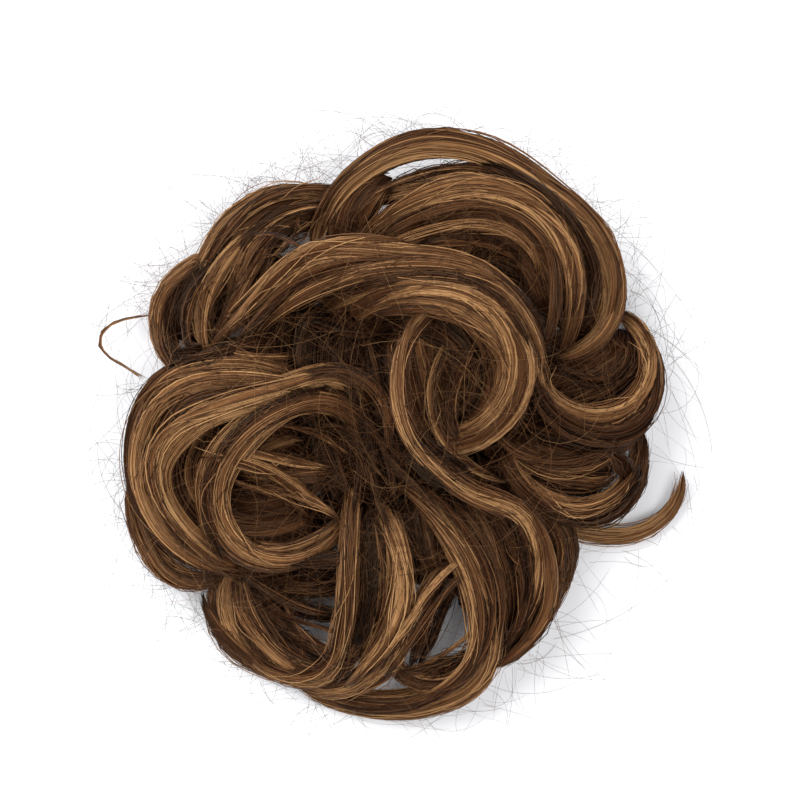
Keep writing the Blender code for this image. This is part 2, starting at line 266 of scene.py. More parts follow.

# A lock's route is a few given points (x, y, z) in millimetres that a smooth curve runs through.
# Width is measured level, thick is measured upright, tip is the share of both left near its ends, and
# tone goes from 0, dark umber, to 1, pale gold. A tuft's root lies on the band between two angles, in
# degrees.
Lock = namedtuple("Lock", "name width thick tip tone route")
Tuft = namedtuple("Tuft", "name slot root_from root_to locks")

# A line is a route read at even stations, a comb is how one lock is parted into ridges, and strands are
# many thin tubes, held as arrays.
Line = namedtuple("Line", "length along centre side up")
Comb = namedtuple("Comb", "ridges twist warp tones streaks swell beat")
Strands = namedtuple("Strands", "points outward radius tone v")

# Slow waves that shift the ridges round a lock: how far in radians, how many there are round it, and how
# far they turn along it
Wave = namedtuple("Wave", "size rounds drift")
RIDGE_WAVES = (Wave(0.24, 2, 2.2), Wave(0.11, 3, -3.0))

# Lengths of single hairs: a gamma curve's shape and scale, and the shortest and longest hair
Lengths = namedtuple("Lengths", "shape scale shortest longest")
FRIZZ_LENGTHS = Lengths(4.0, 8.0, 10, 75)
FLYAWAY_LENGTHS = Lengths(3.0, 7.5, 8, 55)

TUFTS = (
    Tuft("tuft_centre", "caramel_hair", 80, 124, (
        Lock("mass", 24, 22, 0.8, 0.16, (
            (-20, 25, 12), (-12, 33, 23), (3, 35, 33), (18, 27, 37), (24, 11, 37), (13, -2, 36)
        )),
        Lock("bowl", 26, 12, 0.8, 0.50, ((5, 31, 33), (9, 14, 35), (15, -5, 34))),
        # Painted shade: the crown lies deep in the middle's valley and is given a near-black tone.
        Lock("crown", 30, 8, 0.8, 0.02, ((-12, 34, 22), (-16, 16, 28), (-11, -4, 29), (-4, -22, 29))),
        Lock("outer", 7, 6, 0.5, 0.74, (
            (-57, 21, 15), (-42, 35, 31), (-28, 46, 41), (-3, 46.5, 46), (22, 41.5, 46),
            (36, 24, 39)
        )),
        Lock("second", 9, 8, 0.5, 0.40, (
            (-43, 25, 19), (-30, 37, 35), (-8, 42, 45), (16, 41, 48), (31, 31, 45), (37, 14, 38)
        )),
        Lock("third", 8, 8, 0.5, 0.66, (
            (-24, 32, 29), (3, 39, 48), (23, 34, 50), (34, 19, 46), (38, 7, 38)
        )),
        Lock("crest", 10, 6, 0.5, 0.76, (
            (-15, 29, 33), (3, 35.5, 52), (20, 31, 55), (30.5, 16, 51), (23, 0, 46), (6, -4, 38)
        )),
        Lock("front", 5.5, 5, 0.5, 0.68, (
            (12, 35, 50), (0, 23, 54.5), (-1.5, 3, 55), (15, -17, 49), (33, -26, 40),
            (36.5, -44, 31), (24, -64, 20)
        )),
    )),
    Tuft("tuft_upper_right", "caramel_hair", 28, 78, (
        Lock("mass", 24, 22, 0.8, 0.42, (
            (12, 22, 9), (14, 38, 14), (18, 52, 18), (36, 50, 20), (47, 36, 20), (46, 24, 18)
        )),
        Lock("arch", 7.5, 7, 0.5, 0.76, (
            (-26, 48, 17), (-19, 65, 27), (-2, 76.5, 31), (18, 77.5, 31), (40, 64.5, 30),
            (56, 47, 29), (57, 30, 28), (41, 18.5, 30)
        )),
        Lock("arch_leg", 12, 8, 0.5, 0.50, ((-17, 47, 19), (-15, 60, 25), (-4, 69, 28))),
        Lock("rim", 13, 10, 0.5, 0.68, ((22, 72, 25), (40, 59, 28), (50, 44, 27), (48, 27, 26))),
        Lock("inner_arch", 6, 7, 0.5, 0.78, (
            (-14, 49, 24), (1, 61.5, 36), (21, 66, 41), (39, 58, 41), (46.5, 41, 38),
            (43, 20, 33)
        )),
        Lock("sheet", 14, 10, 0.7, 0.62, (
            (-13, 47, 19), (6, 56, 29), (26, 57, 32), (38, 47, 31), (41, 28, 29)
        )),
        Lock("veil", 6, 5, 0.5, 0.62, ((-14, 61, 22), (4, 67, 26), (22, 70.5, 28), (36, 62, 31))),
    )),
    Tuft("tuft_right", "walnut_hair", -20, 26, (
        Lock("upper_mass", 24, 22, 0.8, 0.28, (
            (24, 8, 9), (38, 12, 16), (52, 16, 18), (59, 20, 17), (60, 27, 14)
        )),
        Lock("lower_mass", 26, 22, 0.7, 0.25, ((22, 0, 10), (38, -5, 19), (52, -8, 18), (59, -8, 14))),
        Lock("hook", 6, 6, 0.5, 0.74, (
            (36, 21, 34), (41, 6.5, 36), (56, 2.5, 34), (67, 11, 28), (66, 25, 23), (58, 32, 17)
        )),
        Lock("long_hook", 5.5, 6, 0.5, 0.52, (
            (34, 16, 38), (44, 1.5, 38), (60, -1.5, 33), (69, 8, 25), (66, 25, 17), (57, 32, 12)
        )),
        Lock("swag", 5.5, 8, 0.5, 0.66, ((24, -1, 29), (37, -10, 30), (54, -9, 27), (66, 2, 19))),
        Lock("low_swag", 6.5, 7, 0.5, 0.66, (
            (26, -4, 28), (35, -19, 29), (51, -23.5, 25), (64, -13, 17), (65, 0, 12)
        )),
        Lock("hem", 6, 9, 0.5, 0.48, (
            (30, -12, 22), (44, -25, 20), (57, -25, 15), (65, -14, 11), (64, -2, 9)
        )),
        Lock("backing", 18, 13, 0.8, 0.25, ((21, -7, 12), (32, -12, 17), (44, -14, 17))),
        Lock("wisp", 4.5, 4, 0.35, 0.82, (
            (33, -12, 17), (40, -26, 11), (52, -31, 6), (66, -30.5, 5), (75, -24, 5),
            (78, -13, 8)
        )),
    )),
    Tuft("tuft_left", "caramel_hair", 167, 225, (
        Lock("mass", 27, 24, 0.8, 0.38, (
            (-31, -2, 10), (-42, 5, 18), (-58, 1, 21), (-64, -13, 19), (-54, -28, 17),
            (-38, -30, 15), (-24, -22, 13)
        )),
        Lock("cushion", 28, 18, 0.9, 0.42, ((-28, -8, 16), (-38, -13, 20), (-54, -15, 20))),
        Lock("outer", 7, 9, 0.5, 0.62, (
            (-28, 10, 29), (-50, 17, 36), (-68, 12, 31), (-76.3, -4, 23), (-72, -26, 19),
            (-50, -41, 21)
        )),
        Lock("second", 8, 8, 0.5, 0.68, (
            (-29, 8, 31), (-52, 11.5, 38), (-69, 4, 32), (-72, -14, 26), (-62, -32, 24),
            (-47, -40, 25)
        )),
        Lock("bright", 8, 6, 0.5, 0.82, (
            (-9, 5, 31), (-18, 13, 36), (-38, 8.5, 43), (-61, 0, 41), (-70, -14, 35),
            (-62, -30, 31), (-46, -39.5, 28)
        )),
        Lock("ring", 6.5, 7, 0.5, 0.66, (
            (-12, -2, 32), (-27, 7, 42), (-45, -4, 44), (-53, -20, 39), (-46, -35, 34),
            (-30, -37, 31), (-17, -24, 35)
        )),
        Lock("inner_ring", 6, 7, 0.5, 0.48, (
            (-22, 10, 36), (-44, 1, 41), (-56, -17, 36), (-49, -38, 28)
        )),
        Lock("bar", 8, 5, 0.6, 0.32, ((-50, -13, 28), (-36, -15, 31), (-21, -14, 31))),
        Lock("under", 6, 10, 0.5, 0.52, (
            (-75, -12, 15), (-74, -32, 11), (-64, -43.5, 10), (-50, -41, 13)
        )),
    )),
    Tuft("tuft_lower_right", "caramel_hair", 277, 338, (
        Lock("mass", 25, 22, 0.7, 0.28, ((11, -20, 9), (17, -32, 17), (26, -44, 18), (25, -58, 14))),
        Lock("lap", 14, 14, 0.7, 0.25, ((3, -20, 22), (6, -34, 22), (10, -46, 17))),
        Lock("sweep", 8.5, 8, 0.5, 0.78, (
            (0, -16, 36), (14, -33.5, 37), (21.5, -52, 31), (19, -70, 21), (4, -78, 12),
            (-18, -77.5, 8), (-32, -72, 7)
        )),
        Lock("inner_sweep", 9, 8, 0.5, 0.38, (
            (12, -18, 30), (24, -37, 29), (27, -53, 24), (21, -66, 18)
        )),
        Lock("outer", 6.5, 8, 0.5, 0.66, (
            (31, -21, 27), (39.5, -36, 26), (39, -51, 21), (22, -68, 14)
        )),
        Lock("flank", 7, 10, 0.5, 0.48, (
            (30, -20, 18), (44.5, -32, 14), (40.5, -48, 12), (25, -66, 10)
        )),
        Lock("fill", 11, 12, 0.5, 0.28, ((20, -18, 25), (31, -36, 23), (31, -50, 19), (24, -62, 15))),
    )),
    Tuft("tuft_lower_left", "walnut_hair", 227, 275, (
        Lock("mass", 18, 22, 0.7, 0.25, ((-14, -23, 9), (-10, -36, 18), (-8, -50, 19), (-13, -64, 13))),
        Lock("straight", 6, 7, 0.5, 0.74, (
            (-15, -17, 35), (-16.5, -38, 38), (-18, -58, 28), (-25, -71, 16), (-41, -66, 11),
            (-51, -50, 14), (-47, -38, 18)
        )),
        Lock("middle", 7, 8, 0.5, 0.70, (
            (-7, -22, 34), (-1.5, -42, 35), (-5, -58, 28), (-16, -73, 16), (-30, -73, 9)
        )),
        Lock("cross", 6, 7, 0.5, 0.72, ((11, -39, 26), (0, -56, 29), (-8, -70, 20), (-22, -75, 11))),
        Lock("small_loop", 5, 7, 0.6, 0.55, (
            (-4, -55, 25), (-2, -69.5, 18), (9, -73, 16), (20, -61, 22)
        )),
        Lock("sheet", 12, 10, 0.5, 0.28, ((-11, -22, 30), (-9, -44, 30), (-16, -66, 19))),
        Lock("hanging", 9, 10, 0.5, 0.42, (
            (-47, -39, 16), (-44, -55, 14), (-34, -66, 13), (-18, -68, 17)
        )),
        Lock("low_edge", 5, 8, 0.5, 0.45, (
            (-51, -40, 10), (-53, -57, 7), (-40, -68.5, 7), (-25, -72, 8)
        )),
        Lock("strand", 4, 5, 0.6, 0.30, ((-48, -40, 19), (-36, -49.5, 15), (-12, -53, 15))),
        Lock("net", 9, 8, 0.7, 0.25, ((-46, -40, 12), (-32, -44, 14), (-12, -41, 15))),
    )),
    Tuft("tuft_upper_left", "chestnut_hair", 127, 165, (
        Lock("mass", 20, 16, 0.8, 0.40, (
            (-27, 17, 9), (-36, 30, 11), (-46, 42, 12), (-57, 36, 12), (-59, 22, 11)
        )),
        Lock("outline", 7, 10, 0.6, 0.58, (
            (-15, 60, 17), (-33, 64.5, 16), (-50, 55, 13), (-58, 40, 12), (-57, 24, 12)
        )),
        Lock("low_lobe", 6.5, 10, 0.6, 0.58, (
            (-50, 46, 12), (-66, 40, 10), (-69, 26, 9), (-60, 13, 12)
        )),
        Lock("light", 5.5, 6, 0.5, 0.76, (
            (-42, 54, 17), (-53.5, 42, 20), (-57.5, 29, 19), (-52, 17, 16)
        )),
        Lock("pale", 5.5, 6, 0.5, 0.70, ((-36, 52, 16), (-45, 38, 20), (-52, 26, 18))),
        Lock("brow", 11, 10, 0.6, 0.54, ((-18, 59, 15), (-33, 58, 17), (-45, 48, 17), (-51, 34, 16))),
    )),
)

# Narrow locks that lie on top of the tufts. Their routes are (x, y) in millimetres: their height follows
# the hair under them, raised by lift, and both ends are tucked in. The darkest ones, sunk by a negative
# lift, fill gaps and hollows, and their near-black tone is painted shade.
Veil = namedtuple("Veil", "width tone lift route")

UPPER_RIGHT_VEILS = (
    Veil(3.6, 0.66, 0.3, (
        (-24, 54), (-19, 65), (-9, 73.5), (5, 79), (20, 77.5), (38, 68), (52, 56), (58, 42), (55, 27)
    )),
    Veil(2.6, 0.40, 0.2, ((-27, 52), (-22, 64), (-12, 74), (4, 81), (20, 79), (36, 70), (50, 59))),
    Veil(3.6, 0.62, 0.2, (
        (-8, 52), (3, 58), (14, 61.5), (25, 61), (34, 56.5), (40, 49), (41.5, 40), (38, 21)
    )),
    Veil(3.0, 0.50, 0.2, ((-6, 49.5), (6, 54), (18, 56), (28, 54), (35, 48), (37, 40))),
    Veil(3.0, 0.34, 0.2, ((4, 49.5), (16, 51), (26, 49.5), (33, 44))),
    Veil(3.6, 0.28, 0.2, ((20, 73), (32, 68), (42, 60), (49, 51), (52.5, 42), (51.5, 33), (46, 24))),
    Veil(2.2, 0.72, 0.3, ((30, 63), (40, 57), (46, 49), (48, 40), (46, 29))),
    Veil(1.4, 0.52, 0.2, ((-14, 62), (0, 69), (12, 72), (22, 71.5), (32, 66.5))),
    Veil(3.0, 0.14, -4.0, ((34, 31), (39, 27), (42, 22))),
)
RIGHT_VEILS = (
    Veil(3.0, 0.70, 0.2, (
        (36, 21), (36.5, 12.5), (41, 6.5), (49, 3), (57, 3), (64, 6.5), (68, 13), (66, 27)
    )),
    Veil(2.8, 0.48, 0.2, (
        (35, 17), (38.5, 7), (45, 1), (53, -2), (61, -1.5), (67, 2.5), (69.5, 10), (66, 27)
    )),
    Veil(2.8, 0.26, 0.2, ((34, 10), (39, 2), (47, -3.5), (56, -5), (64, -3), (69, 3))),
    Veil(5.0, 0.16, -3.0, ((54, -5), (59, -10), (63, -16))),
    Veil(3.0, 0.60, 0.3, ((24, -1), (29, -6.5), (37, -10), (46, -10.5), (55, -8), (63, -4.5))),
    Veil(3.2, 0.64, 0.3, (
        (28, -4), (30.5, -13), (36, -19.5), (44, -23.5), (53, -23), (60.5, -18.5), (65.5, -11)
    )),
    Veil(2.4, 0.36, 0.2, ((33, -17), (39, -23), (47, -26.5), (55, -25.5), (62, -20), (66, -12))),
    Veil(3.0, 0.20, 0.2, ((40, 18), (48, 13), (56, 12), (62, 17), (62, 26))),
)
LOWER_RIGHT_VEILS = (
    Veil(3.0, 0.66, 0.2, (
        (32, -22), (38, -31), (40, -40), (39.5, -49), (36, -57.5), (30, -64.5), (23, -69)
    )),
    Veil(2.6, 0.36, 0.2, ((38, -26), (43, -33), (41.5, -44), (38.5, -53), (33, -61), (26, -66.5))),
    Veil(2.6, 0.60, 0.2, ((22, -22), (29, -33), (33, -43), (32, -53), (26, -63))),
    Veil(3.0, 0.18, 0.2, ((28, -24), (33, -35), (34, -47), (30, -58))),
    Veil(3.0, 0.34, 0.2, ((12, -22), (20, -31), (24, -40), (26, -50), (25, -60))),
    Veil(3.4, 0.70, 0.3, ((-2, -17), (8, -26), (16, -38), (20, -52), (18, -66), (8, -76), (-8, -79))),
    Veil(2.6, 0.44, 0.3, (
        (3, -16), (15, -28), (23, -44), (22, -62), (12, -74), (-4, -80.5), (-22, -78)
    )),
)
LOWER_LEFT_VEILS = (
    Veil(3.2, 0.66, 0.2, ((-16, -18), (-16.5, -36), (-18, -54), (-24, -69), (-36, -70), (-46, -62))),
    Veil(3.4, 0.70, 0.2, ((-7, -25), (-3, -35), (-1.5, -44), (-3, -54), (-8, -63), (-18, -74))),
    Veil(3.0, 0.14, 0.3, ((-11, -20), (-10, -36), (-10, -50), (-15, -63))),
    Veil(2.8, 0.56, 0.2, ((-57.5, -47), (-55.5, -54), (-50, -61), (-43.5, -66.5), (-35.5, -70.5))),
    Veil(2.4, 0.70, 0.2, ((-49, -46), (-47, -53), (-42, -60), (-36, -66), (-28, -71))),
    Veil(2.0, 0.34, 0.2, ((-47, -41), (-40, -46), (-31, -51), (-21, -53))),
    Veil(2.4, 0.66, 0.2, ((11, -41), (4, -51), (-3, -61), (-11, -70))),
    Veil(1.8, 0.42, -0.5, ((18, -66), (10, -66), (3, -69), (-4, -71))),
    Veil(4.5, 0.30, -1.0, ((-45, -44), (-41, -51), (-34, -57.5), (-24, -63.5), (-13, -66))),
    Veil(3.5, 0.20, -1.0, ((2, -71), (10, -68.5), (18, -63))),
    Veil(4.0, 0.30, -1.0, ((-13, -59), (-16, -66), (-20, -72))),
    Veil(3.6, 0.28, -0.5, ((11, -42), (6, -50), (4, -58), (1, -68))),
    Veil(3.0, 0.44, 0.0, ((15, -43), (10, -52), (7, -60), (2, -70))),
    Veil(2.0, 0.72, 0.3, ((18, -36), (12, -40), (5, -48), (-1, -57), (-8, -68))),
    Veil(1.6, 0.54, 0.5, ((19, -40), (13, -44), (7, -52), (0, -62), (-7, -72))),
    Veil(1.4, 0.30, 0.2, ((-14, -6), (-13, -14), (-15, -24), (-16.5, -36))),
    Veil(1.6, 0.34, 0.2, ((-10, -8), (-9, -18), (-6, -28), (-2, -40))),
    Veil(1.8, 0.40, 0.2, ((-9, -6), (-3, -12), (5, -20), (13, -31))),
    Veil(4.0, 0.14, -1.0, ((-36, -38), (-28, -38), (-19, -37), (-11, -34))),
    Veil(1.2, 0.64, 0.0, ((22, -53), (16, -60), (8, -66), (-2, -69))),
    Veil(1.4, 0.34, 0.2, ((-45, -43), (-38, -51), (-29, -59), (-20, -68))),
    Veil(1.2, 0.24, 0.2, ((-42, -50), (-34, -54), (-23, -57), (-14, -60))),
    Veil(1.3, 0.44, 0.2, ((-39, -42), (-33, -53), (-29, -62), (-31, -70))),
)
LEFT_VEILS = (
    Veil(3.4, 0.66, 0.2, (
        (-26, 11), (-36, 12.5), (-50, 13.5), (-62, 11.5), (-70.5, 5), (-75, -6), (-74, -20),
        (-66, -33), (-52, -41)
    )),
    Veil(2.8, 0.50, 0.2, (
        (-24, 9), (-36, 10), (-50, 9), (-62, 6), (-68, -2), (-71, -12), (-68, -24), (-58, -36)
    )),
    Veil(3.4, 0.82, 0.4, (
        (-11, 8), (-19, 13), (-36, 10), (-55, 4), (-65, -1), (-70, -9), (-69, -19), (-62, -30),
        (-50, -39.5)
    )),
    Veil(3.0, 0.34, 0.3, ((-36, 9), (-30, 13), (-22, 15), (-14, 13.5), (-8, 9), (-5, 2), (-6, -8))),
    Veil(3.0, 0.56, 0.3, (
        (-12, 1), (-22, 7), (-35, 4), (-46, -4), (-52, -15), (-51, -27),
        (-42, -36), (-30, -37), (-18, -28)
    )),
    Veil(3.4, 0.72, 0.5, ((-58, -9), (-47, -10), (-38, -13), (-29, -19), (-22, -25))),
    Veil(2.4, 0.62, 0.7, ((-53, -7), (-42, -8), (-32, -10.5), (-20, -12))),
    Veil(1.6, 0.50, 0.4, ((-50, -15), (-42, -18), (-34, -21), (-26, -28))),
    Veil(1.4, 0.44, 0.3, ((-44, -1), (-35, 0), (-24, -3), (-15, -10))),
    Veil(0.8, 0.84, 0.3, (
        (-71, 12), (-80, 17), (-86, 21.5), (-87, 25.5), (-83, 28.5), (-77, 30), (-69, 31)
    )),
    Veil(2.4, 0.46, 0.2, (
        (-22, 10.5), (-33, 7), (-44, 1), (-52, -8), (-56, -18), (-55, -28), (-51, -38)
    )),
    Veil(2.2, 0.52, 0.2, ((-44, -16), (-33, -19), (-25, -22), (-18, -27))),
    Veil(2.4, 0.60, 0.2, ((-45, -32), (-35, -34.5), (-25, -31), (-18, -26))),
    Veil(2.2, 0.40, 0.2, ((-28, -2), (-18, -1), (-11, -7), (-9, -17))),
)
UPPER_LEFT_VEILS = (
    Veil(2.6, 0.54, 0.2, ((-56, 46), (-63.5, 42), (-68.5, 36), (-70, 28.5), (-69, 21), (-65, 15.5))),
    Veil(3.2, 0.66, 0.2, ((-44, 53), (-51.5, 45), (-55.5, 37), (-57, 29), (-55.5, 19))),
    Veil(2.6, 0.58, 0.2, ((-38, 52), (-42.5, 44), (-47, 36), (-52, 28), (-55, 22))),
    Veil(2.4, 0.56, 0.2, ((-18, 66), (-32, 66), (-43, 62), (-52, 53), (-57, 44))),
    Veil(3.0, 0.40, 0.2, ((-20, 61), (-33, 60), (-43, 53), (-49, 44))),
    Veil(2.4, 0.22, 0.2, ((-54, 44), (-60, 37), (-62, 28), (-60, 19))),
    Veil(0.8, 0.52, 0.0, ((-43, 49), (-36, 50), (-26, 54))),
    Veil(0.8, 0.62, 0.0, ((-39, 45), (-33, 52), (-24, 58))),
    Veil(0.8, 0.44, 0.0, ((-37, 46), (-31, 55), (-30, 63))),
    Veil(1.0, 0.34, 0.0, ((-44, 53), (-37, 53), (-29, 49), (-22, 46))),
    Veil(5.0, 0.20, -1.0, ((-67, 16), (-56, 18), (-44, 21), (-31, 22))),
    Veil(4.0, 0.30, -0.5, ((-66, 20), (-55, 21), (-43, 24), (-34, 29))),
    Veil(2.0, 0.46, 0.2, ((-64, 23), (-54, 21), (-42, 19), (-30, 19))),
)
CENTRE_VEILS = (
    Veil(3.0, 0.74, 0.2, ((-56, 20), (-47, 30), (-37, 41), (-28, 48), (-14, 51), (2, 50))),
    Veil(3.0, 0.24, 0.2, ((-50, 20), (-41, 30), (-32, 39), (-20, 44), (-4, 46), (12, 45))),
    Veil(3.2, 0.58, 0.2, ((-44, 22), (-32, 34), (-18, 41), (0, 44), (18, 42), (31, 33), (37, 20))),
    Veil(2.4, 0.72, 0.3, ((-22, 38), (-8, 44), (8, 45), (22, 41), (33, 30), (38, 14))),
    Veil(2.6, 0.20, 0.2, ((-16, 37), (-2, 41), (14, 41), (27, 33), (34, 20))),
    Veil(3.0, 0.76, 0.3, ((-9, 33), (3, 37), (17, 35), (26, 27), (29, 15), (25, 4), (15, -3))),
    Veil(2.4, 0.36, 0.2, ((-11, 30), (0, 32), (12, 31), (20, 24), (22, 14))),
    Veil(2.4, 0.78, 0.2, ((3, 32), (-1, 22), (-2, 10), (1, -3), (8, -13), (18, -21), (31, -25))),
    # Painted shade: the darkest veils here, some sunk, keep the middle's valley near black.
    Veil(5.0, 0.16, -1.5, ((-3, 4), (2, -3), (9, -9), (18, -13))),
    Veil(5.0, 0.12, -1.5, ((-2, -6), (4, -11), (11, -15), (20, -18))),
    Veil(2.4, 0.22, 0.2, ((-24, 34), (-30, 24), (-30, 14))),
    Veil(2.0, 0.18, 0.2, ((-34, 33), (-20, 26), (-8, 25))),
    Veil(2.4, 0.06, 0.2, ((-22, 24), (-16, 10), (-10, -6), (-9, -22))),
    Veil(2.4, 0.14, 0.2, ((-12, 26), (-8, 10), (-5, -6), (-1, -20))),
    Veil(1.8, 0.24, 0.2, ((-26, 12), (-14, 4), (-6, -8), (-4, -24))),
    Veil(3.0, 0.44, 0.2, ((20, 24), (14, 14), (12, 2), (17, -8))),
    Veil(2.6, 0.60, 0.2, ((12, 24), (7, 12), (9, -2), (18, -12), (28, -16))),
)
VEILS = (
    *UPPER_RIGHT_VEILS, *RIGHT_VEILS, *LOWER_RIGHT_VEILS, *LOWER_LEFT_VEILS, *LEFT_VEILS,
    *UPPER_LEFT_VEILS, *CENTRE_VEILS,
)


def unit(vectors):
    return vectors / np.linalg.norm(vectors, axis=-1, keepdims=True)


def smooth_route(route):
    """Close points on a smooth curve through a route's own points, in millimetres.

    Each span is a cubic whose directions come from the circle through three neighbouring points.
    """
    points = np.array(route, float)
    steps = np.diff(points, axis=0)
    lengths = np.linalg.norm(steps, axis=1, keepdims=True)
    chords = steps / lengths
    inner = unit(steps[:-1] / lengths[:-1] ** 2 + steps[1:] / lengths[1:] ** 2)
    first = 2 * (chords[0] @ inner[0]) * chords[0] - inner[0]
    last = 2 * (chords[-1] @ inner[-1]) * chords[-1] - inner[-1]
    tangents = np.vstack([first, inner, last])
    t = (np.arange(SPAN_SAMPLES) / SPAN_SAMPLES)[:, None]
    spans = []
    for index, chord in enumerate(chords):
        start, end = points[index], points[index + 1]
        leave, arrive = tangents[index], tangents[index + 1]
        pull_out = leave * 2 * lengths[index] / (1 + leave @ chord)
        pull_in = arrive * 2 * lengths[index] / (1 + arrive @ chord)
        spans.append(
            start * (2 * t**3 - 3 * t**2 + 1)
            + pull_out * (t**3 - 2 * t**2 + t)
            + end * (3 * t**2 - 2 * t**3)
            + pull_in * (t**3 - t**2)
        )
    return np.vstack([*spans, points[-1:]])


def lock_line(route, step):
    """Even stations along a route, each with a level side axis and an upward axis."""
    path = smooth_route(route)
    reach = np.concatenate([[0.0], np.cumsum(np.linalg.norm(np.diff(path, axis=0), axis=1))])
    count = max(LEAST_STEPS, round(reach[-1] / step))
    along = np.linspace(0.0, 1.0, count + 1)
    centre = np.column_stack([np.interp(along * reach[-1], reach, values) for values in path.T])
    tangent = unit(np.gradient(centre, axis=0))
    side = unit(np.cross((0.0, 0.0, 1.0), tangent))
    return Line(reach[-1], along, centre, side, np.cross(tangent, side))


def read_at(line, values, along):
    """A line's values at any shares of its length."""
    return np.stack([np.interp(along, line.along, column) for column in values.T], axis=-1)


def girth(lock):
    return math.pi * (lock.width + lock.thick) / 2


def comb_for(lock, rng):
    """How a lock is parted into ridges: how they turn, swell along it, and how light each is."""
    ridges = max(LEAST_RIDGES, round(girth(lock) / RIDGE_PITCH))
    tones = rng.uniform(-RIDGE_TONES, RIDGE_TONES, ridges)
    streaks = rng.uniform(-STREAK_TONES, STREAK_TONES, ridges * RIDGE_STREAKS)
    swell = min(RIDGE_SWELL, SWELL_SHARE * lock.thick) * rng.uniform(LEAST_SWELL, 1.0, ridges)
    twist = rng.normal(0, RIDGE_TWIST)
    warp = rng.uniform(0, TAU, len(RIDGE_WAVES))
    return Comb(ridges, twist, warp, tones, streaks, swell, rng.random((2, ridges)))


def ridge_place(comb, theta, along):
    """Which ridge an angle is on, as a whole number and the share across that ridge."""
    turned = theta + comb.twist * (along - 0.5)
    shifted = turned
    for wave, start in zip(RIDGE_WAVES, comb.warp):
        shifted = shifted + wave.size * np.sin(wave.rounds * turned + start + wave.drift * along)
    return comb.ridges * shifted / TAU


def ridge_number(comb, theta, along):
    return np.floor(ridge_place(comb, theta, along)).astype(int) % comb.ridges


def ridge_tone(comb, theta, along):
    """How much lighter or darker the hair of a ridge is, and of the streak within it."""
    streak = np.floor(ridge_place(comb, theta, along) * RIDGE_STREAKS).astype(int)
    return comb.tones[ridge_number(comb, theta, along)] + comb.streaks[streak % len(comb.streaks)]


def painted_round_shading(theta, along):
    """Painted light and shade: how much lighter a lock is on top, where light falls, and darker down its
    flanks and at both ends, where shade falls.
    """
    flank = np.abs(np.cos(theta)) ** FLANK_POWER
    end = np.abs(2 * along - 1) ** END_POWER
    return TOP_PAINTED_LIGHT * np.sin(theta) - FLANK_PAINTED_SHADE * flank - END_PAINTED_SHADE * end


def ridge_crown(comb, theta, along):
    """From 0 in a groove to 1 on the middle of a ridge."""
    return np.abs(np.sin(math.pi * ridge_place(comb, theta, along))) ** CROWN_POWER


def on_lock(lock, line, comb, theta, along, lift):
    """Points round a lock, lift millimetres above its combed surface, and its outward directions."""
    full = 1 - (1 - lock.tip) * np.abs(2 * along - 1) ** TAPER_POWER
    end = np.minimum(along, 1 - along) * line.length / END_TAPER
    full = full * (END_SHARE + (1 - END_SHARE) * np.sqrt(np.minimum(end, 1)))
    crown = ridge_crown(comb, theta, along)
    ridge = ridge_number(comb, theta, along)
    beat, start = comb.beat
    swell = comb.swell[ridge] * np.sin(TAU * (along * (SWELL_BEAT + beat[ridge]) + start[ridge]))
    depth = min(GROOVE_SHARE * min(lock.width, lock.thick), GROOVE_MOST)
    rise = lift + (swell * crown - depth * (1 - crown)) * full
    across = (full * lock.width / 2 + rise) * np.cos(theta)
    above = (full * lock.thick / 2 + rise) * np.sin(theta)
    side = read_at(line, line.side, along)
    up = read_at(line, line.up, along)
    centre = read_at(line, line.centre, along)
    outward = unit(side * np.cos(theta)[..., None] + up * np.sin(theta)[..., None])
    return centre + side * across[..., None] + up * above[..., None], outward


def kept_clear(points, margin):
    """Points moved out of the hollow for the wearer's knot, out of the band and up off the surface."""
    points = points.copy()
    offset = points[..., :2] - (BAND_X, BAND_Y)
    reach = np.maximum(np.linalg.norm(offset, axis=-1), TINY)
    height = points[..., 2]
    half = BAND_WIDTH / 2 + BAND_GAP + margin
    top = BAND_HEIGHT + BAND_GAP + margin
    in_band = (np.abs(reach - BAND_RADIUS) < half) & (height < top)
    out_side = BAND_RADIUS + half - reach < top - height
    new_reach = np.where(in_band & out_side, BAND_RADIUS + half, reach)
    new_height = np.where(in_band & ~out_side, top, height)
    wall = HOLLOW_RADIUS + margin
    roof = HOLLOW_HEIGHT + margin
    inside = (new_reach < wall) & (new_height < roof)
    sideways = wall - new_reach < roof - new_height
    new_reach = np.where(inside & sideways, wall, new_reach)
    new_height = np.where(inside & ~sideways, roof, new_height)
    points[..., :2] = (BAND_X, BAND_Y) + offset * (new_reach / reach)[..., None]
    points[..., 2] = np.maximum(new_height, FLOOR_GAP + margin)
    return points


def root_lock(tuft):
    """The lock that grips the tuft's stretch of the band."""
    route = []
    for step in range(ROOT_STEPS + 1):
        angle = math.radians(tuft.root_from + (tuft.root_to - tuft.root_from) * step / ROOT_STEPS)
        x = BAND_X + BAND_RADIUS * math.cos(angle)
        y = BAND_Y + BAND_RADIUS * math.sin(angle)
        route.append((x, y, ROOT_HEIGHT))
    return Lock("root", ROOT_WIDTH, ROOT_THICK, 1.0, ROOT_TONE, route)


